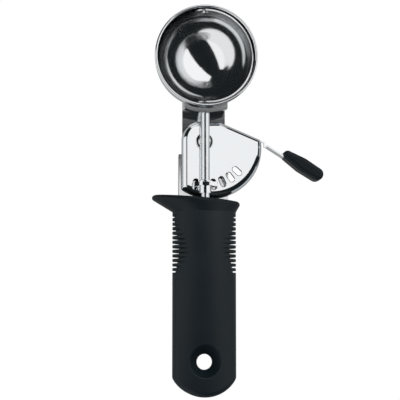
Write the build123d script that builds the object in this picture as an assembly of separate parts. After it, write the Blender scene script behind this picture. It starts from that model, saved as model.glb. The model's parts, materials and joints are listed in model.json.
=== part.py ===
from build123d import *
import math
import os

# Lever ice cream scoop, in millimetres.
#
# Every piece is drawn in the scoop's own axes: the scraper rod lies on the Y axis, the bowl is
# centred on the origin and opens towards +Z, and the handle runs towards -Y. lay_down() then
# tips the whole scoop so that bowl and handle rest on the plane Z = 0.

# ---------------------------------------------------------------- driving dimensions
running_clearance = 0.05          # radial play of every pin that turns in a hole
rivet_play = 0.1                  # gap left under a rivet head so that its joint turns
over = 1.0                        # how far a cutting tool is drawn past the face that it cuts

# bowl
bowl_radius = 27.6                # inside
bowl_wall = 0.9
bowl_band = 7.0                   # straight wall between the rod axis and the rim
lip_width = 1.5
lip_depth = 2.2

# scraper
scraper_gap = 0.25                # between blade and bowl
scraper_thickness = 0.8
scraper_width = 12.0
scraper_rest = 5.0                # degrees that the blade lies below the rim side at rest
far_rivet_radius = 1.5
far_rivet_head_radius = 2.3
far_rivet_cap_radius = 2.6
far_rivet_head_height = 0.9

# rod
rod_radius = 2.4
rod_past_bearing = 4.0
rod_spigot_radius = 1.7
rod_head_radius = 2.6
rod_head_height = 0.9
clip_groove_depth = 0.5
clip_thickness = 0.8
clip_width = 1.4
clip_mouth = 2.6

# lever plate, a pressed pan that turns on the pivot pin
pivot_y = -47.2
plate_thickness = 1.0
plate_bend = 3.8                  # outside radius of the turned-back edge
plate_depth = 4.6
plate_side_step = 1.35            # from the frame's side in to the plate's left edge
plate_top = 11.9                  # above the pivot
plate_top_slope = 22.8            # degrees, falling towards the thumb grip
plate_top_break = 8.4             # x where the level top edge turns into the slope
plate_arc_radius = 29.2
plate_arc_offset_x = 3.9          # from the pivot to the middle of the arc
plate_arc_offset_y = -3.0
plate_shoulder_radius = 11.0
plate_break_radius = 7.0
plate_corner_radius = 2.0

# gear mesh of lever plate and pinion
slot_count = 6
slot_pitch = 12.0                 # degrees about the pivot
slots_behind = 1                  # slots on the far side of the pinion at rest
slot_width = 2.9
slot_length = 6.0
slot_mouth = 0.35                 # bevel round each slot's front edge
mesh_rim = 7.2                    # from the middle of the pinion out to the plate's arc
tooth_count = 7
tooth_height_over_pitch = 0.8
tooth_tip_width = 1.3
tooth_pitch_width = 1.9
pinion_thickness = 2.4
pinion_root_radius = 4.5
hub_radius = 3.4
hub_upper = 1.1
hub_lower = 4.0
pinion_pin_radius = 0.75

# pivot
pivot_radius = 2.25
pivot_head_radius = 3.6
pivot_head_height = 1.3
pivot_tail_radius = 4.0
pivot_tail_height = 1.3
washer_radius = 4.9
washer_thickness = 0.9
washer_rounding = 0.35
bush_radius = 3.7
stop_radius = 1.3
stop_drop = 14.8                  # below the pivot
stop_head_height = 0.8

# return spring
wire_radius = 0.45
coil_radius = 4.75
coil_pitch = 1.0
coil_turns = 2.875
spring_low_leg = 12.0
spring_leg_inset = 2.5            # from the plate's sloping edge in to the upper leg's tip
spring_lug_width = 3.0
spring_lug_height = 1.6

# frame, one pressed channel from the bowl's saddle to the tail in the handle
frame_thickness = 1.5
web_gap = 0.5                     # between the lever plate's turned edge and the web
frame_neck_half = 12.2
frame_waist_y = -54.0
frame_half = 14.1
frame_flange_depth = 4.8
frame_foot_depth = 3.9            # how far the frame's sides reach into the guard
saddle_thickness = 3.5
saddle_top_z = 3.5
saddle_rod_clearance = 0.5
tail_half = 8.0
tail_length = 56.0

# thumb grip and its tang
tang_width = 7.5
tang_root_x = 25.0
tang_knee_x = 35.3
tang_step = 1.8                   # down from the plate's top edge to the tang, at the knee
tang_widening = 0.4               # x past the knee where the tang is at its full width
tang_slope = 32.4                 # degrees, falling away from the pivot
thumb_start = 10.7                # along the tang, from the knee to the thumb grip's tip
thumb_length = 26.2
thumb_lift = 1.7                  # of the thumb grip's axis above the tang
tang_in_thumb = 17.0
thumb_inner_radius = 2.6
thumb_middle_radius = 3.9
thumb_outer_radius = 3.65
thumb_width = 12.0
thumb_rounding = 2.3

# handle
handle_center_z = -7.5
handle_half_width = 18.0
handle_side_share = 0.7           # side radius of the oval section over its half thickness
handle_below_hole = 19.6
handle_end_radius = 20.5
handle_end_rounding = 3.0
grip_top_half_thickness = 14.0
grip_waist_half_thickness = 12.3
grip_hole_half_thickness = 9.0
grip_end_half_thickness = 8.0
grip_waist_drop = 37.5            # from the grip's top down to its waist

# finger fins, cut into both sides of the grip
fin_count = 13
fin_first_drop = 2.9              # from the grip's top
fin_pitch = 2.56
fin_gap = 1.1
fin_depth_min = 1.2
fin_depth_max = 3.7
fin_deepest = 0.6                 # share of the row where the cuts are deepest

# hand guard
guard_left_reach = 12.3           # past the grip's side
guard_right_reach = 4.2
guard_gap = 0.7                   # from the lever plate's arc down to the guard, on the rod axis
guard_height = 7.4
guard_top_slope = 4.3             # degrees, falling to the right
guard_half_thickness = 15.0
guard_rounding = 1.6
guard_rod_clearance = 0.8
guard_plate_clearance = 0.4       # of the recess that the lever plate's edge swings through

# hang hole
hole_drop = 83.9                  # from the grip's top down to the hang hole
hole_radius = 4.4
hole_dish_radius = 9.4
hole_wall = 3.0
hole_dish_rounding = 0.5

# handle core, two moulded halves screwed together over the frame's tail
core_half_width = 13.2
core_top_depth = 4.4              # below the guard's top
core_end_gap = 4.0                # between the core's end and the hang hole's dish
grip_wall = 2.2                   # soft layer over the core's front and back
screw_drop = 29.5                 # from the core's top down to the upper screw
tail_past_screw = 9.0             # from the lower screw to the tail's end
screw_radius = 1.6
screw_head_radius = 2.9
screw_head_height = 1.7
screw_socket_width = 2.5
screw_socket_depth = 1.0
screw_top_z = -1.2
screw_tip_z = -13.8

# rod bearing in the core
bearing_drop = 3.5                # from the core's top down to the bearing
bearing_length = 12.0
bearing_radius = 3.3
bearing_flange_radius = 3.9
bearing_flange_height = 1.2
clip_room = 3.6

# ---------------------------------------------------------------- derived dimensions
# along the rod, from the pivot down
plate_left_x = plate_side_step - frame_half
mesh_y = pivot_y + plate_arc_offset_y - plate_arc_radius + mesh_rim
stop_y = pivot_y - stop_drop
guard_top_y = pivot_y + plate_arc_offset_y - plate_arc_radius - guard_gap
frame_foot_y = guard_top_y - frame_foot_depth
tail_end_y = frame_foot_y - tail_length
grip_top_y = guard_top_y - guard_height
grip_waist_y = grip_top_y - grip_waist_drop
fin_first_y = grip_top_y - fin_first_drop
hole_y = grip_top_y - hole_drop
handle_end_y = hole_y - handle_below_hole
core_top_y = guard_top_y - core_top_depth
core_end_y = hole_y + hole_dish_radius + core_end_gap
screw_ys = [core_top_y - screw_drop, tail_end_y + tail_past_screw]
bearing_top_y = core_top_y - bearing_drop
bearing_end_y = bearing_top_y - bearing_length
rod_end_y = bearing_end_y - rod_past_bearing

# across the rod, and in the bowl
guard_left_x = -handle_half_width - guard_left_reach
guard_right_x = handle_half_width + guard_right_reach
bowl_outer = bowl_radius + bowl_wall
blade_outer = bowl_radius - scraper_gap
blade_inner = blade_outer - scraper_thickness
tooth_pitch = 360.0 / tooth_count
mesh_ratio = tooth_pitch / slot_pitch
mesh_radius = pivot_y - mesh_y
pitch_radius = mesh_radius / mesh_ratio
plate_front_z = plate_thickness / 2 - pitch_radius
plate_back_z = plate_front_z - plate_thickness
plate_edge_z = plate_front_z - plate_depth
web_front_z = plate_edge_z - web_gap
web_back_z = web_front_z - frame_thickness
scraper_travel = 180.0 - 2 * scraper_rest
lever_travel = scraper_travel / mesh_ratio
split_z = (web_front_z + web_back_z) / 2
plate_swing = math.hypot(plate_arc_offset_x, plate_arc_offset_y) + plate_arc_radius
stop_x = plate_left_x + plate_thickness + running_clearance + stop_radius
stop_head_radius = stop_x + frame_half - frame_thickness - running_clearance
thin_half = grip_hole_half_thickness - hole_wall / 2
dish_slope = (hole_dish_radius - hole_radius) / thin_half
far_out = bowl_outer - handle_end_y   # longer than any piece, for tools that cut right through


# ---------------------------------------------------------------- helpers
def slab(x_low, x_high, y_low, y_high, z_low, z_high):
    """A box given by its six faces."""
    box = Box(x_high - x_low, y_high - y_low, z_high - z_low)
    return Pos((x_low + x_high) / 2, (y_low + y_high) / 2, (z_low + z_high) / 2) * box


def rod_along_y(radius, y_from, y_to, x=0.0, z=0.0):
    """A round bar parallel to the Y axis."""
    bar = Rot(90, 0, 0) * Cylinder(radius, abs(y_to - y_from))
    return Pos(x, (y_from + y_to) / 2, z) * bar


def post(radius, z_from, z_to, x=0.0, y=0.0):
    """A round bar parallel to the Z axis."""
    return Pos(x, y, (z_from + z_to) / 2) * Cylinder(radius, abs(z_to - z_from))


def button(radius, height, rounding):
    """A disc on the XY plane with its upper edge rounded, such as a rivet's head."""
    disc = Pos(0, 0, height / 2) * Cylinder(radius, height)
    rim = disc.edges().filter_by(GeomType.CIRCLE).sort_by(Axis.Z)[-1]
    return fillet(rim, rounding)


def extruded(points, z_low, z_high):
    """A prism over a closed outline of (x, y) points."""
    face = make_face(Polyline(*points, close=True))
    return Pos(0, 0, z_low) * extrude(face, z_high - z_low)


def shell_profile(inner, outer, top):
    """Half section of a bowl-shaped shell: a ball below the rod axis, a straight band above."""
    edges = [
        CenterArc((0, 0), inner, -90, 90),
        Line((inner, 0), (inner, top)),
        Line((inner, top), (outer, top)),
        Line((outer, top), (outer, 0)),
        CenterArc((0, 0), outer, -90, 90),
        Line((0, -outer), (0, -inner)),
    ]
    return make_face(Plane.XZ * Curve(edges))


# ---------------------------------------------------------------- bowl and scraper
def bowl():
    """Pressed bowl with a rolled lip, a hole for the rod and one for the far rivet."""
    shell = revolve(shell_profile(bowl_radius, bowl_outer, bowl_band - lip_width), Axis.Z)
    lip_outer = bowl_radius + lip_width
    round_radius = lip_width / 2
    lip_low = bowl_band - lip_depth
    taper = lip_low - (lip_outer - bowl_outer)
    lip = make_face(Plane.XZ * Curve([
        Line((bowl_radius, taper), (bowl_radius, bowl_band - round_radius)),
        CenterArc((bowl_radius + round_radius, bowl_band - round_radius), round_radius, 0, 180),
        Line((lip_outer, bowl_band - round_radius), (lip_outer, lip_low)),
        Line((lip_outer, lip_low), (bowl_outer, taper)),
        Line((bowl_outer, taper), (bowl_radius, taper)),
    ]))
    rod_hole = rod_along_y(rod_radius + running_clearance, -bowl_outer - over, -blade_inner)
    rivet_hole = rod_along_y(far_rivet_radius, blade_inner, bowl_outer + over)
    return shell + revolve(lip, Axis.Z) - rod_hole - rivet_hole


def scraper():
    """Half-ring blade with a round eye at each end, on the rod and on the far rivet."""
    half = scraper_width / 2
    ball = Sphere(blade_outer) - Sphere(blade_inner)
    strip = slab(0, bowl_outer, -bowl_outer, bowl_outer, -half, half)
    eyes = rod_along_y(half, -bowl_outer, bowl_outer)
    blade = ball & (strip + eyes)
    blade -= rod_along_y(rod_spigot_radius, -bowl_outer, 0)
    blade -= rod_along_y(far_rivet_radius + running_clearance, 0, bowl_outer)
    return Rot(0, scraper_rest, 0) * blade


def far_rivet():
    """Rivet fixed in the bowl's wall, on which the blade's far eye turns."""
    seat_y = math.sqrt(blade_inner**2 - far_rivet_head_radius**2) - rivet_play
    rounding = far_rivet_head_height / 2
    head = Pos(0, seat_y, 0) * Rot(90, 0, 0) * button(far_rivet_head_radius, far_rivet_head_height, rounding)
    shank = rod_along_y(far_rivet_radius, seat_y - rounding, bowl_outer + rounding)
    cap = button(far_rivet_cap_radius, far_rivet_head_height, rounding)
    return head + shank + Pos(0, bowl_outer, 0) * Rot(-90, 0, 0) * cap


def scraper_rod():
    """Rod from the blade to the bearing in the handle, its end peened over inside the blade."""
    head_y = -math.sqrt(blade_inner**2 - rod_head_radius**2)
    rod = rod_along_y(rod_radius, rod_end_y, -blade_outer)
    spigot = rod_along_y(rod_spigot_radius, -blade_outer - over, head_y + rod_head_height / 2)
    head = Pos(0, head_y, 0) * Rot(-90, 0, 0) * button(rod_head_radius, rod_head_height, rod_head_height / 2)
    groove_top = bearing_end_y - rivet_play
    groove = rod_along_y(rod_radius + over, groove_top - clip_thickness, groove_top)
    groove -= rod_along_y(rod_radius - clip_groove_depth, groove_top - clip_thickness, groove_top)
    return rod + spigot + head - groove - pinion_pin()


def rod_clip():
    """Open retaining ring in the rod's groove, below the bearing."""
    top = bearing_end_y - rivet_play
    inner = rod_radius - clip_groove_depth
    ring = rod_along_y(inner + clip_width, top - clip_thickness, top)
    ring -= rod_along_y(inner, top - clip_thickness, top)
    mouth = slab(-clip_mouth / 2, clip_mouth / 2, top - clip_thickness, top, 0, inner + clip_width)
    return ring - mouth


# ---------------------------------------------------------------- gear mesh
def pinion():
    """Star wheel with a hub each side, its teeth reaching through the lever plate's slots."""
    tip = pitch_radius + tooth_height_over_pitch
    flank = (tooth_pitch_width - tooth_tip_width) / 2 / tooth_height_over_pitch
    base = pinion_root_radius - over
    root_half = tooth_pitch_width / 2 + flank * (pitch_radius - base)
    tooth = extruded(
        [(-root_half, base), (-tooth_tip_width / 2, tip), (tooth_tip_width / 2, tip), (root_half, base)],
        -pinion_thickness / 2,
        pinion_thickness / 2,
    )
    wheel = Cylinder(pinion_root_radius, pinion_thickness)
    for step in range(tooth_count):
        wheel += Rot(0, 0, step * tooth_pitch) * tooth
    upper = button(hub_radius, pinion_thickness / 2 + hub_upper, 0.3)
    lower = Pos(0, 0, -pinion_thickness / 2 - hub_lower / 2) * Cylinder(hub_radius, hub_lower)
    wheel = wheel + upper + lower
    wheel = Pos(0, mesh_y, 0) * Rot(-90, 0, 0) * wheel
    bore = rod_along_y(rod_radius, mesh_y - far_out, mesh_y + far_out)
    return wheel - bore - pinion_pin()


def pinion_pin():
    """Cross pin that locks the pinion's hub to the rod."""
    pin_y = mesh_y - pinion_thickness / 2 - hub_lower / 2
    return Pos(0, pin_y, 0) * Rot(0, 90, 0) * Cylinder(pinion_pin_radius, 2 * hub_radius)


# ---------------------------------------------------------------- lever
def top_edge_y(x):
    """Height of the plate's sloping top edge above the pivot."""
    return plate_top - (x - plate_top_break) * math.tan(math.radians(plate_top_slope))


def plate_outline():
    """Outline of the lever plate about its pivot: a sector with a level and a sloping top edge."""
    low = -plate_swing - over
    far = plate_swing + over
    points = [(plate_left_x, low), (plate_left_x, plate_top), (plate_top_break, plate_top)]
    points += [(far, top_edge_y(far)), (far, low)]
    blank = make_face(Polyline(*points, close=True))
    sector = blank & (Pos(plate_arc_offset_x, plate_arc_offset_y) * Circle(plate_arc_radius))
    corners = [
        ((plate_left_x, plate_top), plate_shoulder_radius),
        ((plate_top_break, plate_top), plate_break_radius),
        ((far, 0), plate_corner_radius),
        ((plate_left_x, low), plate_corner_radius),
    ]
    for (x, y), radius in corners:
        nearest = sector.vertices().sort_by_distance((x, y, 0))[0]
        sector = fillet(nearest, radius)
    return sector


def pan(outline, depth, bend):
    """A block over an outline, its upper edge rounded, with its upper face at Z = 0."""
    block = Pos(0, 0, -depth) * extrude(outline, depth)
    return fillet(block.edges().group_by(Axis.Z)[-1], bend)


def tang_knee_y():
    """Height above the pivot at which the tang sets off from the knee."""
    return top_edge_y(tang_knee_x) - tang_step


def tang():
    """The turned-back top edge carried on past the corner as a strip that stands on edge."""
    slope = math.tan(math.radians(tang_slope))
    knee_y = tang_knee_y()
    end_x = tang_knee_x + (thumb_start + tang_in_thumb) * math.cos(math.radians(tang_slope))
    wide_x = tang_knee_x + tang_widening
    inner_x = tang_knee_x - plate_thickness
    drop_top = plate_thickness / math.cos(math.radians(plate_top_slope))
    drop_tang = plate_thickness / math.cos(math.radians(tang_slope))
    root = [
        (tang_root_x, top_edge_y(tang_root_x)),
        (tang_knee_x, top_edge_y(tang_knee_x)),
        (tang_knee_x, knee_y),
        (wide_x, knee_y - tang_widening * slope),
        (wide_x, knee_y - tang_widening * slope - drop_tang),
        (inner_x, knee_y - drop_tang),
        (inner_x, top_edge_y(inner_x) - drop_top),
        (tang_root_x, top_edge_y(tang_root_x) - drop_top),
    ]
    strip = [
        (wide_x, knee_y - tang_widening * slope),
        (end_x, knee_y - (end_x - tang_knee_x) * slope),
        (end_x, knee_y - (end_x - tang_knee_x) * slope - drop_tang),
        (wide_x, knee_y - tang_widening * slope - drop_tang),
    ]
    low = handle_center_z - tang_width / 2
    high = handle_center_z + tang_width / 2
    root_top = plate_front_z - plate_bend + plate_thickness
    return extruded(root, plate_edge_z, root_top) + extruded(strip, low, high)


def slot_angles():
    """Angles of the slots about the pivot, with one slot on the pinion at rest."""
    return [-90 + (step - slots_behind) * slot_pitch for step in range(slot_count)]


def slot_tool():
    """Cutting tool for one slot, with the plate's front face at Z = 0 and a bevelled mouth."""
    window = Pos(0, 0, -plate_depth) * extrude(SlotOverall(slot_length, slot_width), plate_depth + over)
    wide = SlotOverall(slot_length + 2 * slot_mouth, slot_width + 2 * slot_mouth)
    mouth = extrude(Plane(origin=(0, 0, 0), x_dir=(1, 0, 0), z_dir=(0, 0, -1)) * wide, slot_mouth, taper=45)
    return window + mouth


def lever_plate():
    """Pressed pan with the gear slots, the pivot hole and the tang."""
    outline = plate_outline()
    outer = pan(outline, plate_depth, plate_bend)
    inner = pan(offset(outline, -plate_thickness), plate_depth - plate_thickness, plate_bend - plate_thickness)
    shell = Pos(0, 0, plate_front_z) * (outer - Pos(0, 0, -plate_thickness) * inner)
    shell += tang()
    shell -= post(pivot_radius + running_clearance, plate_edge_z, plate_front_z + over)
    for angle in slot_angles():
        shell -= Rot(0, 0, angle) * Pos(mesh_radius, 0, plate_front_z) * slot_tool()
    return Pos(0, pivot_y, 0) * shell


def thumb_axis():
    """Where the thumb grip's axis starts, in the scoop's axes."""
    slope = math.radians(tang_slope)
    x = tang_knee_x + thumb_start * math.cos(slope)
    y = pivot_y + tang_knee_y() - plate_thickness / 2 - thumb_start * math.sin(slope)
    return Pos(x, y, handle_center_z) * Rot(0, 0, -tang_slope) * Pos(0, thumb_lift, 0)


def thumb_grip():
    """Soft pad moulded over the tang."""
    first = thumb_inner_radius
    last = thumb_length - thumb_outer_radius
    rounds = Pos(first, 0) * Circle(thumb_inner_radius)
    rounds += Pos((first + last) / 2, 0) * Circle(thumb_middle_radius)
    rounds += Pos(last, 0) * Circle(thumb_outer_radius)
    hull = make_face(make_hull(rounds.edges()))
    pad = Pos(0, 0, -thumb_width / 2) * extrude(hull, thumb_width)
    pad = fillet(pad.edges().filter_by(lambda e: abs(e.tangent_at(0.5).Z) < 0.1), thumb_rounding)
    return thumb_axis() * pad - Pos(0, pivot_y, 0) * tang()


# ---------------------------------------------------------------- pivot
def pivot_pin():
    """Rivet through the frame's web that carries the lever plate."""
    washer_top = plate_front_z + running_clearance + washer_thickness
    seat = washer_top + running_clearance
    head = Pos(0, 0, seat) * button(pivot_head_radius, pivot_head_height, pivot_head_height * 0.6)
    tail = Pos(0, 0, web_back_z) * Rot(180, 0, 0) * button(pivot_tail_radius, pivot_tail_height, 0.5)
    return Pos(0, pivot_y, 0) * (head + tail + post(pivot_radius, web_back_z, seat))


def pivot_washer():
    """Washer between the rivet's head and the lever plate."""
    low = plate_front_z + running_clearance
    ring = Pos(0, 0, low) * button(washer_radius, washer_thickness, washer_rounding)
    ring -= post(pivot_radius + running_clearance, low - over, low + washer_thickness + over)
    return Pos(0, pivot_y, 0) * ring


def pivot_bush():
    """Spacer that holds the lever plate clear of the web, inside the return spring."""
    top = plate_back_z - running_clearance
    sleeve = post(bush_radius, web_front_z, top) - post(pivot_radius, web_front_z, top)
    return Pos(0, pivot_y, 0) * sleeve


def stop_pin():
    """Rivet that the plate's left edge rests against."""
    top = plate_back_z - plate_bend + plate_thickness
    head = Pos(0, 0, web_back_z) * Rot(180, 0, 0) * button(stop_head_radius, stop_head_height, 0.4)
    return Pos(stop_x, stop_y, 0) * (post(stop_radius, web_back_z, top) + head)


def spring_leg(length):
    """A straight leg that runs from the origin along +X."""
    return Pos(length / 2, 0, 0) * Rot(0, 90, 0) * Cylinder(wire_radius, length)


def spring_high_leg(start, way):
    """Length of the upper leg, so that its tip stops just inside the plate's sloping edge."""
    slope = math.radians(plate_top_slope)
    outward = Vector(math.sin(slope), math.cos(slope), 0)
    edge = outward.dot(Vector(plate_top_break, plate_top, 0)) - spring_leg_inset
    return (edge - outward.dot(start)) / outward.dot(way)


def return_spring():
    """Torsion spring round the bush: one leg on the frame's lug, one under the plate's top edge."""
    low = web_front_z + wire_radius + running_clearance
    path = Helix(coil_pitch, coil_turns * coil_pitch, coil_radius)
    start, end = path @ 0, path @ 1
    end_angle = 360 * coil_turns + 90
    way = Vector(math.cos(math.radians(end_angle)), math.sin(math.radians(end_angle)), 0)
    low_leg = Pos(start.X, start.Y, start.Z) * Rot(0, 0, -90) * spring_leg(spring_low_leg)
    high_leg = spring_leg(spring_high_leg(end, way))
    high_leg = Pos(end.X, end.Y, end.Z) * Rot(0, 0, end_angle) * high_leg
    return Pos(0, pivot_y, low) * (sweep_wire(path) + low_leg + high_leg)


def sweep_wire(path):
    """Round wire along a path."""
    section = Plane(origin=path @ 0, z_dir=path % 0) * Circle(wire_radius)
    return sweep(section, path=path)


# ---------------------------------------------------------------- frame
def frame_blank():
    """The frame without its holes: saddle, web, turned-back sides and tail."""
    reach = bowl_outer + saddle_thickness
    saddle = revolve(shell_profile(bowl_outer, reach, saddle_top_z), Axis.Z)
    saddle &= slab(-frame_neck_half, frame_neck_half, -reach, 0, web_back_z, saddle_top_z)
    neck = slab(-frame_neck_half, frame_neck_half, frame_waist_y, -bowl_outer / 2, web_back_z, web_front_z)
    web = slab(-frame_half, frame_half, frame_foot_y, frame_waist_y, web_back_z, web_front_z)
    tail = slab(-tail_half, tail_half, tail_end_y, frame_foot_y, web_back_z, web_front_z)
    body = neck - Sphere(bowl_outer) + saddle + web + tail
    for side in (-1, 1):
        inner = side * (frame_half - frame_thickness)
        outer = side * frame_half
        low, high = min(inner, outer), max(inner, outer)
        flange = slab(low, high, frame_foot_y, frame_waist_y, web_back_z - frame_flange_depth, web_back_z)
        body += flange
    lug_x = coil_radius - wire_radius - running_clearance
    lug_y = pivot_y - spring_low_leg
    top = web_front_z + spring_lug_height
    return body + slab(lug_x - frame_thickness, lug_x, lug_y, lug_y + spring_lug_width, web_back_z, top)


def frame():
    """Saddle round the bowl, web behind the lever, turned-back sides and a tail in the handle."""
    body = frame_blank()
    low, high = web_back_z - over, web_front_z + over
    body -= rod_along_y(rod_radius + saddle_rod_clearance, -bowl_outer - saddle_thickness - over, 0)
    body -= post(pivot_radius, low, high, y=pivot_y)
    body -= post(stop_radius, low, high, stop_x, stop_y)
    for y in screw_ys:
        body -= post(screw_radius, low, high, y=y)
    return body


# ---------------------------------------------------------------- handle
def handle_section(y, half_width, half_thickness, x=0.0):
    """An oval of four arcs, two at the sides and two flatter ones at front and back."""
    side = handle_side_share * half_thickness
    offset_x = half_width - side
    crown = (offset_x**2 + half_thickness**2 - side**2) / (2 * (half_thickness - side))
    turn = math.degrees(math.atan2(crown - half_thickness, offset_x))
    arcs = []
    for start in (0, 180):
        middle = (offset_x, 0) if start == 0 else (-offset_x, 0)
        arcs.append(CenterArc(middle, side, start - turn, 2 * turn))
        center = (0, half_thickness - crown) if start == 0 else (0, crown - half_thickness)
        arcs.append(CenterArc(center, crown, start + turn, 180 - 2 * turn))
    plane = Plane(origin=(x, y, handle_center_z), x_dir=(1, 0, 0), z_dir=(0, -1, 0))
    return plane * make_face(Curve(arcs))


def handle_bulk():
    """Outer form of the grip before the fins and the hang hole are cut."""
    sections = [
        handle_section(grip_top_y, handle_half_width, grip_top_half_thickness),
        handle_section(grip_waist_y, handle_half_width, grip_waist_half_thickness),
        handle_section(hole_y, handle_half_width, grip_hole_half_thickness),
        handle_section(handle_end_y, handle_half_width, grip_end_half_thickness),
    ]
    oval = loft(sections)
    end_center_y = handle_end_y + handle_end_radius
    keep = slab(-far_out, far_out, end_center_y, grip_top_y, -far_out, far_out)
    keep += post(handle_end_radius, -far_out, far_out, y=end_center_y)
    bulk = oval & keep
    rim = bulk.edges().filter_by(lambda e: e.center().Y < end_center_y - over)
    return fillet(rim, handle_end_rounding)


def core_bulk():
    """Outer form of the rigid core, one grip wall inside the handle's front and back."""
    past_waist = (core_end_y - grip_waist_y) / (hole_y - grip_waist_y)
    end_half = grip_waist_half_thickness
    end_half += (grip_hole_half_thickness - grip_waist_half_thickness) * past_waist
    return loft([
        handle_section(core_top_y, core_half_width, grip_top_half_thickness - grip_wall),
        handle_section(grip_waist_y, core_half_width, grip_waist_half_thickness - grip_wall),
        handle_section(core_end_y, core_half_width, end_half - grip_wall),
    ])


def hang_dish():
    """Through hole with a dished recess on each face of the handle."""
    tool = post(hole_radius, -far_out, far_out)
    rise = thin_half + handle_half_width
    flare = Pos(0, 0, (hole_wall + rise) / 2) * Cone(hole_radius, hole_radius + dish_slope * rise, rise)
    return Pos(0, hole_y, handle_center_z) * (tool + flare + Rot(180, 0, 0) * flare)


def is_dish_edge(edge):
    """Whether an edge of the grip belongs to the hang hole or to one of its dishes."""
    corners = edge.bounding_box()
    across = max(abs(corners.min.X), abs(corners.max.X))
    return across < hole_dish_radius + dish_slope * over and abs(corners.center().Y - hole_y) < over


def fin_cuts():
    """Round grooves that leave the thin fins along both sides of the grip."""
    cuts = []
    for step in range(fin_count):
        share = step / (fin_count - 1)
        swell = 0.5 + 0.5 * math.cos(math.pi * (share - fin_deepest) / fin_deepest)
        depth = fin_depth_min + (fin_depth_max - fin_depth_min) * swell
        y = fin_first_y - step * fin_pitch
        low, high = y - fin_gap / 2, y + fin_gap / 2
        layer = slab(-far_out, far_out, low, high, -far_out, far_out)
        cuts.append(layer - rod_along_y(handle_half_width - depth, low, high, z=handle_center_z))
    return cuts


def grip():
    """Soft over-moulded sleeve with fins at its sides."""
    sleeve = handle_bulk() - hang_dish()
    sleeve = fillet(sleeve.edges().filter_by(is_dish_edge), hole_dish_rounding)
    sleeve -= core_bulk()
    for cut in fin_cuts():
        sleeve -= cut
    return sleeve


def hand_guard():
    """Flared cap over the top of the grip that keeps the fingers off the mechanism."""
    middle = (guard_left_x + guard_right_x) / 2
    half = (guard_right_x - guard_left_x) / 2
    rise = half * math.tan(math.radians(guard_top_slope))
    top_y = guard_top_y + 2 * rise
    flare = (top_y - grip_top_y) / (guard_top_y - grip_top_y)
    cap = loft([
        handle_section(grip_top_y, handle_half_width, grip_top_half_thickness),
        handle_section(
            top_y,
            handle_half_width + (half - handle_half_width) * flare,
            grip_top_half_thickness + (guard_half_thickness - grip_top_half_thickness) * flare,
            middle * flare,
        ),
    ])
    blade = Rot(0, 0, -guard_top_slope) * slab(-far_out, far_out, 0, far_out, -far_out, far_out)
    cap -= Pos(0, guard_top_y, 0) * blade
    cap = fillet(cap.faces().sort_by(Axis.Y)[-1].edges(), guard_rounding)
    cap -= frame_blank()
    cap -= rod_along_y(rod_radius + guard_rod_clearance, grip_top_y - over, top_y)
    swing = post(plate_swing + guard_plate_clearance, web_front_z, plate_front_z + guard_plate_clearance)
    return cap - Pos(0, pivot_y, 0) * swing - core_bulk()


def core_half(front):
    """One half of the rigid core, hollowed for the frame's tail, the bearing and the screws."""
    half = core_bulk()
    low, high = (split_z, far_out) if front else (-far_out, split_z)
    half &= slab(-far_out, far_out, core_end_y - over, core_top_y + over, low, high)
    half -= frame_blank()
    for screw in core_screws():
        half -= screw
    for y in screw_ys:
        half -= post(screw_head_radius, screw_top_z - screw_head_height, far_out, y=y)
    if front:
        half -= rod_bearing_blank()
        half -= rod_along_y(clip_room, rod_end_y - over, bearing_end_y)
        half -= rod_along_y(bearing_flange_radius, bearing_top_y, core_top_y + over)
    return half


def handle_core_front():
    return core_half(True)


def handle_core_back():
    return core_half(False)


def rod_bearing_blank():
    """Outer form of the bearing bush."""
    flange_low = bearing_top_y - bearing_flange_height
    bush = rod_along_y(bearing_radius, bearing_end_y, bearing_top_y)
    return bush + rod_along_y(bearing_flange_radius, flange_low, bearing_top_y)


def rod_bearing():
    """Flanged bush in the core in which the rod's lower end turns."""
    return rod_bearing_blank() - rod_along_y(rod_radius + running_clearance, rod_end_y, core_top_y)


def core_screws():
    """Two socket screws that clamp the core's halves on the tail."""
    screws = []
    for y in screw_ys:
        seat_z = screw_top_z - screw_head_height
        head = Pos(0, y, seat_z) * button(screw_head_radius, screw_head_height, 0.4)
        shank = post(screw_radius, screw_tip_z, seat_z + 0.1, y=y)
        socket = extrude(RegularPolygon(screw_socket_width / 2, 6), screw_socket_depth)
        screws.append(head + shank - Pos(0, y, screw_top_z - screw_socket_depth) * socket)
    return screws


def screws():
    return Compound(children=core_screws())


PIECES = {
    "bowl": bowl,
    "scraper": scraper,
    "far_rivet": far_rivet,
    "scraper_rod": scraper_rod,
    "rod_clip": rod_clip,
    "pinion": pinion,
    "pinion_pin": pinion_pin,
    "lever_plate": lever_plate,
    "thumb_grip": thumb_grip,
    "pivot_pin": pivot_pin,
    "pivot_washer": pivot_washer,
    "pivot_bush": pivot_bush,
    "stop_pin": stop_pin,
    "return_spring": return_spring,
    "frame": frame,
    "grip": grip,
    "hand_guard": hand_guard,
    "handle_core_front": handle_core_front,
    "handle_core_back": handle_core_back,
    "rod_bearing": rod_bearing,
    "core_screws": screws,
}


# ---------------------------------------------------------------- resting place
def rest_tilt(bowl_shape, grip_shape):
    """Angle about X at which the bowl and the handle touch the same level plane."""
    tilt = 0.0
    for _ in range(6):
        bowl_low = (Rot(tilt, 0, 0) * bowl_shape).bounding_box().min.Z
        grip_low = (Rot(tilt, 0, 0) * grip_shape).bounding_box().min.Z
        tilt += math.degrees(math.atan2(grip_low - bowl_low, -handle_end_y))
    return tilt


def lay_down(shapes):
    """The location that rests the scoop on Z = 0 with its box centred on the origin."""
    turn = Rot(rest_tilt(shapes["bowl"], shapes["grip"]), 0, 0)
    box = Compound(children=[turn * shape for shape in shapes.values()]).bounding_box()
    middle = box.center()
    return Pos(-middle.X, -middle.Y, -box.min.Z) * turn


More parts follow.
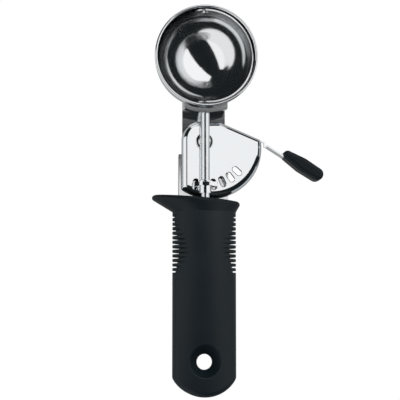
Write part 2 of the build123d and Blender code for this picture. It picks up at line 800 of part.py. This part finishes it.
def report_place(label, place, point, direction):
    """Print a point in metres and a direction, both in the laid-down frame."""
    origin = place * Pos(*point)
    tip = place * Pos(*(a + b for a, b in zip(point, direction)))
    at, to = origin.position, tip.position
    axis = to - at
    print(label, [round(v / 1000, 6) for v in at], [round(v, 6) for v in axis])


def main():
    os.makedirs("parts", exist_ok=True)
    shapes = {name: make() for name, make in PIECES.items()}
    place = lay_down(shapes)
    for name, shape in shapes.items():
        export_step(place * shape, f"parts/{name}.step")
    report_place("lever joint", place, (0, pivot_y, plate_back_z), (0, 0, -1))
    report_place("scraper joint", place, (0, 0, 0), (0, 1, 0))
    report_place("hang hole", place, (0, hole_y, handle_center_z), (0, 0, 1))
    report_place("bowl opening", place, (0, 0, bowl_band), (0, 0, 1))
    print("lever travel", round(lever_travel, 4), "scraper travel", scraper_travel)
    print("ratio", round(mesh_ratio, 6), "pitch radius", round(pitch_radius, 3))


main()
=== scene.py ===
import json
import math
import bpy
from mathutils import Matrix, Vector

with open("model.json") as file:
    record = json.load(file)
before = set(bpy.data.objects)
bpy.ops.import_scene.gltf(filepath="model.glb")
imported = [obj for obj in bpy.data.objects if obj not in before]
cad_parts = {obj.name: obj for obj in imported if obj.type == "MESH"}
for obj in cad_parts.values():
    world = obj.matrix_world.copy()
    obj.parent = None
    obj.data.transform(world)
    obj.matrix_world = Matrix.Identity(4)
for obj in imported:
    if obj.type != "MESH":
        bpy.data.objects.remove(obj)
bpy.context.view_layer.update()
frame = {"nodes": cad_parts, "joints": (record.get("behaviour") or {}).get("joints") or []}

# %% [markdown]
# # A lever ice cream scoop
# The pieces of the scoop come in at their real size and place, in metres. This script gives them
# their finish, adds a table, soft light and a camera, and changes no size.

nodes = frame["nodes"]
joints = {joint["name"]: joint for joint in frame["joints"]}
print("pieces", len(nodes), "moving", sorted(joints))

# %% [markdown]
# ## Landmarks
# The scraper's joint runs along the rod, through the middle of the bowl, and the lever's joint
# stands on the lever plate. Both give finishes and lamps something true to line up with.

# %% The rod's axis, the bowl's middle and the plate
bowl_centre = Vector(joints["scraper_turn"]["pos_m"])
rod_axis = Vector(joints["scraper_turn"]["axis"])
pivot = Vector(joints["lever_press"]["pos_m"])
plate_normal = -Vector(joints["lever_press"]["axis"])
tilt = math.atan2(rod_axis.z, rod_axis.y)
print("bowl centre", tuple(bowl_centre), "tilt in degrees", round(math.degrees(tilt), 2))

# %% [markdown]
# ## Colour
# Finishes are written as the hex values that a paint chart or a picture editor shows. Blender
# works in linear light, so one function turns the first into the second.

# %% Hex to linear light
def linear(hex_value):
    """An sRGB hex value such as '#1a1d1f' as a linear RGBA colour."""
    channels = [int(hex_value[i:i + 2], 16) / 255 for i in (1, 3, 5)]
    return [c / 12.92 if c <= 0.04045 else ((c + 0.055) / 1.055) ** 2.4 for c in channels] + [1.0]


print("mid grey in linear light", round(linear("#808080")[0], 3))

# %% [markdown]
# ## One helper for material nodes
# A material is a small network. `add` makes one node, sets its plain values and links the rest, so
# each finish below reads as a list of what feeds what. Some nodes have several sockets of one name,
# such as Mix with its colours A and B. Those are given by number: _6 and _7.

# %% A node with its settings and links
def add(tree, kind, settings=None, **inputs):
    """Add a node. Inputs are named by socket, with _ for a space; an output socket is linked."""
    node = tree.nodes.new(kind)
    for name, value in (settings or {}).items():
        setattr(node, name, value)
    for name, value in inputs.items():
        key = int(name[1:]) if name[0] == "_" else name.replace("_", " ")
        if isinstance(value, bpy.types.NodeSocket):
            tree.links.new(value, node.inputs[key])
        else:
            node.inputs[key].default_value = value
    return node


def new_material(name):
    """An empty material and its node tree."""
    made = bpy.data.materials.new(name)
    made.use_nodes = True
    made.node_tree.nodes.clear()
    return made, made.node_tree


def close(tree, shader):
    """Send the shader to the material's surface."""
    add(tree, "ShaderNodeOutputMaterial", Surface=shader.outputs["BSDF"])


# %% [markdown]
# ## What the finishes share
# Patterns are sized in millimetres, as on the bench. A noise texture gives values from 0 to 1 but
# keeps mostly to the middle, so that middle is what gets spread over a finish's own range.

# %% Millimetres and the middle of a noise
mm = 0.001
noise_middle = {"From_Min": 0.3, "From_Max": 0.7}
print("1 mm is", mm, "m, noise spread from", noise_middle)

# %% [markdown]
# ## Polished stainless steel
# The bowl and the frame are pressed from 18/8 stainless sheet, spun against a buffing wheel. That
# leaves a near mirror with very fine rings about the bowl's axis: reflections stay readable and
# their edges go slightly soft. Rings finer than the picture can show are drawn 0.6 mm apart, and
# the wheel's uneven pressure leaves clouds about 11 mm wide.

# %% Polished steel
ring_spacing = 0.6 * mm
buffing_cloud = 11.1 * mm


def bowl_axes(tree):
    """The place seen from the bowl's middle, with Z along the bowl's axis, which tips a little."""
    place = add(tree, "ShaderNodeTexCoord").outputs["Object"]
    turned = add(tree, "ShaderNodeMapping", {"vector_type": "TEXTURE"}, Vector=place,
                 Location=bowl_centre, Rotation=(tilt, 0, 0))
    return turned.outputs["Vector"]


def polished_steel(smooth, dull):
    """A near mirror with rings about the bowl's axis. smooth and dull bound its roughness."""
    made, tree = new_material("polished_stainless")
    place = bowl_axes(tree)
    split = add(tree, "ShaderNodeSeparateXYZ", Vector=place)
    rings = add(tree, "ShaderNodeTexNoise", {"noise_dimensions": "1D"},
                W=split.outputs["Z"], Scale=1 / ring_spacing, Detail=3.0, Roughness=0.6)
    cloud = add(tree, "ShaderNodeTexNoise", Vector=place, Scale=1 / buffing_cloud, Detail=4.0)
    mixed = add(tree, "ShaderNodeMix", {"data_type": "FLOAT"}, Factor=0.35,
                A=rings.outputs["Fac"], B=cloud.outputs["Fac"])
    rough = add(tree, "ShaderNodeMapRange", Value=mixed.outputs["Result"],
                To_Min=smooth, To_Max=dull, **noise_middle)
    bump = add(tree, "ShaderNodeBump", Height=rings.outputs["Fac"], Strength=0.03, Distance=0.2 * mm)
    steel = add(tree, "ShaderNodeBsdfPrincipled", Base_Color=linear("#ecedee"), Metallic=1.0,
                Roughness=rough.outputs["Result"], Normal=bump.outputs["Normal"])
    close(tree, steel)
    return made


stainless = polished_steel(smooth=0.07, dull=0.12)
print("made", stainless.name)

# %% [markdown]
# ## Brushed stainless steel
# The scraper blade is cut from strip and brushed along its length, so its lines run with the blade
# from the rod to the far rivet, and each keeps one angle about the rod. Scratches blur the mirror
# image across them and leave grey streaks. Real ones are far finer than the 0.8 mm drawn here.

# %% Brushed steel
brush_spacing = 0.8 * mm
blade_radius = 27 * mm


def brushed_steel(smooth, dull):
    """A soft mirror with scratches along the blade. smooth and dull bound its roughness."""
    made, tree = new_material("brushed_stainless")
    place = bowl_axes(tree)
    split = add(tree, "ShaderNodeSeparateXYZ", Vector=place)
    angle = add(tree, "ShaderNodeMath", {"operation": "ARCTAN2"},
                _0=split.outputs["X"], _1=split.outputs["Z"])
    lines = add(tree, "ShaderNodeTexNoise", {"noise_dimensions": "1D"}, W=angle.outputs["Value"],
                Scale=blade_radius / brush_spacing, Detail=4.0, Roughness=0.7)
    rough = add(tree, "ShaderNodeMapRange", Value=lines.outputs["Fac"],
                To_Min=smooth, To_Max=dull, **noise_middle)
    tint = add(tree, "ShaderNodeMix", {"data_type": "RGBA"}, Factor=lines.outputs["Fac"],
               _6=linear("#d8dadc"), _7=linear("#f2f3f4"))
    bump = add(tree, "ShaderNodeBump", Height=lines.outputs["Fac"], Strength=0.25, Distance=0.3 * mm)
    steel = add(tree, "ShaderNodeBsdfPrincipled", Base_Color=tint.outputs["Result"], Metallic=1.0,
                Roughness=rough.outputs["Result"], Normal=bump.outputs["Normal"])
    close(tree, steel)
    return made


brushed = brushed_steel(smooth=0.1, dull=0.28)
print("made", brushed.name)

# %% [markdown]
# ## Chromed steel
# The lever plate and the pinion are mild steel under bright nickel and chrome. Chrome is smoother
# and a touch bluer than stainless. Handling dulls it in faint patches about 7 mm wide.

# %% Chrome plate
handling_patch = 7.14 * mm


def chromed_steel(smooth, dull):
    """The brightest mirror of the scoop. smooth and dull bound its roughness."""
    made, tree = new_material("chrome_plate")
    place = add(tree, "ShaderNodeTexCoord").outputs["Object"]
    cloud = add(tree, "ShaderNodeTexNoise", Vector=place, Scale=1 / handling_patch, Detail=3.0)
    rough = add(tree, "ShaderNodeMapRange", Value=cloud.outputs["Fac"],
                From_Min=0.35, From_Max=0.65, To_Min=smooth, To_Max=dull)
    plated = add(tree, "ShaderNodeBsdfPrincipled", Base_Color=linear("#e6e8ea"), Metallic=1.0,
                 Roughness=rough.outputs["Result"])
    close(tree, plated)
    return made


chrome = chromed_steel(smooth=0.03, dull=0.08)
print("made", chrome.name)

# %% [markdown]
# ## Plain steel
# The spring's drawn wire, the screws, the clip and the cross pin are unplated steel, darker and
# duller than the plated pieces. The rod is bright bar, ground to size, so its mirror lines go soft.
# Both kinds have a fine mottle, shown here about 1 mm wide so that it can be seen.

# %% Drawn wire and ground bar
mottle = 1.11 * mm


def plain_steel(name, colour, smooth, dull):
    """Unplated steel of one colour. smooth and dull bound its roughness."""
    made, tree = new_material(name)
    place = add(tree, "ShaderNodeTexCoord").outputs["Object"]
    cloud = add(tree, "ShaderNodeTexNoise", Vector=place, Scale=1 / mottle, Detail=2.0)
    rough = add(tree, "ShaderNodeMapRange", Value=cloud.outputs["Fac"],
                To_Min=smooth, To_Max=dull, **noise_middle)
    steel = add(tree, "ShaderNodeBsdfPrincipled", Base_Color=linear(colour), Metallic=1.0,
                Roughness=rough.outputs["Result"])
    close(tree, steel)
    return made


wire = plain_steel("drawn_steel", "#9a9b9d", smooth=0.22, dull=0.38)
ground = plain_steel("ground_steel", "#e2e4e6", smooth=0.16, dull=0.26)
print("made", wire.name, ground.name)

# %% [markdown]
# ## Soft grip
# The handle is a thermoplastic elastomer moulded over a hard core. It is near black with a cold
# cast, and its spark-eroded mould leaves a fine grit, so highlights are broad and weak. The grit
# is really about 0.1 mm; it is drawn at 0.45 mm so that it shows. Wear varies over about 22 mm.

# %% Moulded elastomer
grit_size = 0.45 * mm
wear_patch = 22.2 * mm


def moulded_elastomer(smooth, dull):
    """Near-black rubber with a fine grit. smooth and dull bound its roughness."""
    made, tree = new_material("moulded_elastomer")
    place = add(tree, "ShaderNodeTexCoord").outputs["Object"]
    grit = add(tree, "ShaderNodeTexNoise", Vector=place, Scale=1 / grit_size, Detail=2.0)
    wear = add(tree, "ShaderNodeTexNoise", Vector=place, Scale=1 / wear_patch, Detail=3.0)
    tone = add(tree, "ShaderNodeMix", {"data_type": "RGBA"}, Factor=wear.outputs["Fac"],
               _6=linear("#071218"), _7=linear("#0c1a20"))
    rough = add(tree, "ShaderNodeMapRange", Value=wear.outputs["Fac"],
                To_Min=smooth, To_Max=dull, **noise_middle)
    bump = add(tree, "ShaderNodeBump", Height=grit.outputs["Fac"], Strength=0.15, Distance=0.1 * mm)
    rubber = add(tree, "ShaderNodeBsdfPrincipled", Base_Color=tone.outputs["Result"],
                 Roughness=rough.outputs["Result"], IOR=1.5, Specular_IOR_Level=0.25,
                 Normal=bump.outputs["Normal"])
    close(tree, rubber)
    return made


elastomer = moulded_elastomer(smooth=0.42, dull=0.52)
print("made", elastomer.name)

# %% [markdown]
# ## Hard plastics inside the handle
# The core is glass-filled nylon, black and dull. The rod's bush is natural acetal, off-white and
# waxy. Both show faint flow marks from the mould, about 3 mm wide.

# %% Core and bush plastics
flow_mark = 3.33 * mm


def moulded_plastic(name, dark, light, roughness):
    """A hard plastic whose colour drifts between two close tones."""
    made, tree = new_material(name)
    place = add(tree, "ShaderNodeTexCoord").outputs["Object"]
    cloud = add(tree, "ShaderNodeTexNoise", Vector=place, Scale=1 / flow_mark, Detail=3.0)
    tone = add(tree, "ShaderNodeMix", {"data_type": "RGBA"}, Factor=cloud.outputs["Fac"],
               _6=linear(dark), _7=linear(light))
    bump = add(tree, "ShaderNodeBump", Height=cloud.outputs["Fac"], Strength=0.1, Distance=0.1 * mm)
    plastic = add(tree, "ShaderNodeBsdfPrincipled", Base_Color=tone.outputs["Result"],
                  Roughness=roughness, IOR=1.5, Normal=bump.outputs["Normal"])
    close(tree, plastic)
    return made


nylon = moulded_plastic("glass_filled_nylon", "#121416", "#1b1e20", roughness=0.5)
acetal = moulded_plastic("natural_acetal", "#d8d5cc", "#e6e3da", roughness=0.35)
print("made", nylon.name, acetal.name)

# %% [markdown]
# ## Finish for each piece
# Every piece keeps its own solid shape and takes one of the finishes above.

# %% Dress the pieces
finishes = {
    stainless: ["bowl", "far_rivet", "frame", "pivot_pin", "pivot_washer", "stop_pin", "pivot_bush"],
    brushed: ["scraper"],
    chrome: ["lever_plate", "pinion"],
    ground: ["scraper_rod"],
    wire: ["return_spring", "core_screws", "rod_clip", "pinion_pin"],
    elastomer: ["grip", "hand_guard", "thumb_grip"],
    nylon: ["handle_core_front", "handle_core_back"],
    acetal: ["rod_bearing"],
}
for finish, names in finishes.items():
    for name in names:
        data = nodes[name].data
        data.materials.clear()
        data.materials.append(finish)
print("dressed", sum(len(names) for names in finishes.values()), "of", len(nodes))

# %% [markdown]
# ## Table
# A plain pale sheet lies under the scoop. Seen directly it is white paper with only a weak shadow,
# so most of its colour is given off as plain white, a little over 1 to make up for the matte grey
# mixed into it. Mirrors see mostly that grey and the scoop's own shadow on it.

# %% The table
floor_size = 6.0
seen_share, mirror_share = 0.96, 0.2
paper_white = 1.04
bpy.ops.mesh.primitive_plane_add(size=floor_size)
floor = bpy.context.object
floor.name = "table"
paper, tree = new_material("white_paper")
rays = add(tree, "ShaderNodeLightPath")
seen = add(tree, "ShaderNodeMath", {"operation": "MULTIPLY"},
           _0=rays.outputs["Is Camera Ray"], _1=seen_share)
share = add(tree, "ShaderNodeMath", {"operation": "MULTIPLY_ADD"},
            _0=rays.outputs["Is Glossy Ray"], _1=mirror_share, _2=seen.outputs["Value"])
matte = add(tree, "ShaderNodeBsdfDiffuse", Color=linear("#aeaeae"))
plain = add(tree, "ShaderNodeEmission", Color=linear("#ffffff"), Strength=paper_white)
mixed = add(tree, "ShaderNodeMixShader", Fac=share.outputs["Value"], _1=matte.outputs["BSDF"],
            _2=plain.outputs["Emission"])
add(tree, "ShaderNodeOutputMaterial", Surface=mixed.outputs["Shader"])
floor.data.materials.append(paper)
print("table", floor_size, "m wide")

# %% [markdown]
# ## Camera
# The camera stands nearly over the handle, a little to the left, and sees the scoop about 740 mm
# away through a long lens. Its matrix is built from the line of sight and the table's +Y.

# %% The camera
camera_place = bowl_centre + Vector((-0.0732, -0.2042, 0.7076))
camera_target = bowl_centre + Vector((-0.0028, -0.0805, -0.0085))
camera_roll = math.radians(-0.39)
lens_mm = 116.75


def looking(place, target, roll):
    """A matrix at place that looks at target, with +Y up in the picture, then rolled."""
    sight = (target - place).normalized()
    right = sight.cross(Vector((0, 1, 0))).normalized()
    up = right.cross(sight)
    turn = Matrix((right, up, -sight)).transposed().to_4x4()
    return Matrix.Translation(place) @ turn @ Matrix.Rotation(roll, 4, "Z")


camera_data = bpy.data.cameras.new("camera")
camera_data.lens = lens_mm
camera_data.clip_end = 20.0
camera = bpy.data.objects.new("camera", camera_data)
camera.matrix_world = looking(camera_place, camera_target, camera_roll)
bpy.context.scene.collection.objects.link(camera)
bpy.context.scene.camera = camera
print("camera to bowl, m", round((camera_place - bowl_centre).length, 3))

# %% [markdown]
# ## Soft boxes
# A polished bowl mirrors the whole room, so the lamps are what it shows. Two long soft boxes stand
# on either side of the camera, with dark room between them. A box is given by two angles in
# degrees, seen from the bowl: how far off the line to the camera it stands, and which way round.

# %% Two soft boxes
box_distance = 1.0
toward = (camera_place - bowl_centre).normalized()
across = Vector((0, 1, 0)).cross(toward).normalized()
upward = toward.cross(across)


def panel(name, place, aim, size, level, side):
    """A rectangle of light at place that shines back along aim, its width along side.
    level is how bright its face looks, so it gives the same brightness at any size."""
    light = bpy.data.lights.new(name, "AREA")
    light.shape = "RECTANGLE"
    light.size, light.size_y = size
    light.energy = level * math.pi * size[0] * size[1]
    lamp = bpy.data.objects.new(name, light)
    side = (side - aim * side.dot(aim)).normalized()
    turn = Matrix((side, aim.cross(side), aim)).transposed().to_4x4()
    lamp.matrix_world = Matrix.Translation(place) @ turn
    lamp.visible_camera = False
    bpy.context.scene.collection.objects.link(lamp)
    return lamp


def soft_box(name, around, off, size, level):
    """A panel that faces the bowl, from the angles around and off the line to the camera."""
    a, t = math.radians(around), math.radians(off)
    aim = toward * math.cos(t) + (across * math.cos(a) + upward * math.sin(a)) * math.sin(t)
    return panel(name, bowl_centre + aim * box_distance, aim, size, level, toward.cross(aim))


right_box = soft_box("upper_right_box", around=40, off=58, size=(2.3, 1.3), level=1.05)
left_box = soft_box("lower_left_box", around=205, off=57, size=(2.0, 1.3), level=1.0)
print("soft boxes", right_box.name, left_box.name)

# %% [markdown]
# ## Cards
# The lever plate is flat, so it mirrors one patch of the room, where the camera's line of sight
# bounces off it. A card of light hangs there, and two small ones beside it put the frame's bright
# side and the grey on its saddle in place. Each card reaches only its own pieces, and the right box
# leaves plate and frame out, as a studio would do with flags. Blender calls that light linking.

# %% Cards and what they reach
sight = (camera_place - pivot).normalized()
mirrored = 2 * plate_normal.dot(sight) * plate_normal - sight


def card(name, x, y, level):
    """A panel 1 m along the plate's mirror line. x and y are its edges from that line, in metres."""
    place = pivot + mirrored + Vector((sum(x) / 2, sum(y) / 2, 0))
    return panel(name, place, mirrored, (x[1] - x[0], y[1] - y[0]), level, Vector((1, 0, 0)))


def reach(lamp, names, state="INCLUDE"):
    """Let the lamp reach only the named pieces, or with EXCLUDE every piece but those."""
    linked = bpy.data.collections.new("linked_to_" + lamp.name)
    for name in names:
        linked.objects.link(nodes[name])
    for entry in linked.collection_objects:
        entry.light_linking.link_state = state
    lamp.light_linking.receiver_collection = linked


plate_card = card("plate_card", x=(-0.537, 1.1), y=(-0.099, 1.1), level=1.05)
frame_card = card("frame_card", x=(-0.075, 0.08), y=(-0.097, -0.04), level=1.0)
saddle_card = card("saddle_card", x=(-0.042, 0.052), y=(0.05, 0.075), level=0.9)
reach(plate_card, ["lever_plate", "pivot_pin", "grip"])
reach(frame_card, ["frame"])
reach(saddle_card, ["frame"])
reach(right_box, ["lever_plate", "pivot_pin", "frame"], "EXCLUDE")
print("cards", plate_card.name, frame_card.name, saddle_card.name)

# %% [markdown]
# ## Room
# Behind the table the camera sees plain white, and an even light from all round fills the shadows
# of matte pieces. Mirrors see a cold, dark room instead, which pales to white at the horizon. The
# pale part climbs higher on the handle's side, and greys the steel that faces that way.

# %% The room
fill_level, dark_level = 0.28, 0.016
pale_height_near, pale_height_far = 0.22, 0.02
world = bpy.data.worlds.new("room")
bpy.context.scene.world = world
world.use_nodes = True
tree = world.node_tree
tree.nodes.clear()
rays = add(tree, "ShaderNodeLightPath")
direction = add(tree, "ShaderNodeTexCoord").outputs["Generated"]
way = add(tree, "ShaderNodeSeparateXYZ", Vector=direction)
pale_height = add(tree, "ShaderNodeMapRange", {"clamp": True}, Value=way.outputs["Y"],
                  From_Min=-0.1, From_Max=0.5, To_Min=pale_height_near, To_Max=pale_height_far)
room = add(tree, "ShaderNodeMapRange", {"clamp": True}, Value=way.outputs["Z"],
           From_Min=0.0, From_Max=pale_height.outputs["Result"], To_Min=1.0, To_Max=dark_level)
lit = add(tree, "ShaderNodeMix", {"data_type": "FLOAT"}, Factor=rays.outputs["Is Glossy Ray"],
          A=fill_level, B=room.outputs["Result"])
level = add(tree, "ShaderNodeMath", {"operation": "MAXIMUM"},
            _0=rays.outputs["Is Camera Ray"], _1=lit.outputs["Result"])
cold = add(tree, "ShaderNodeMix", {"data_type": "RGBA"}, Factor=rays.outputs["Is Glossy Ray"],
           _6=linear("#ffffff"), _7=linear("#dcf2ff"))
light = add(tree, "ShaderNodeBackground", Color=cold.outputs["Result"],
            Strength=level.outputs["Value"])
add(tree, "ShaderNodeOutputWorld", Surface=light.outputs["Background"])
bpy.context.scene.view_settings.view_transform = "Standard"
print("room", world.name, "fill", fill_level)
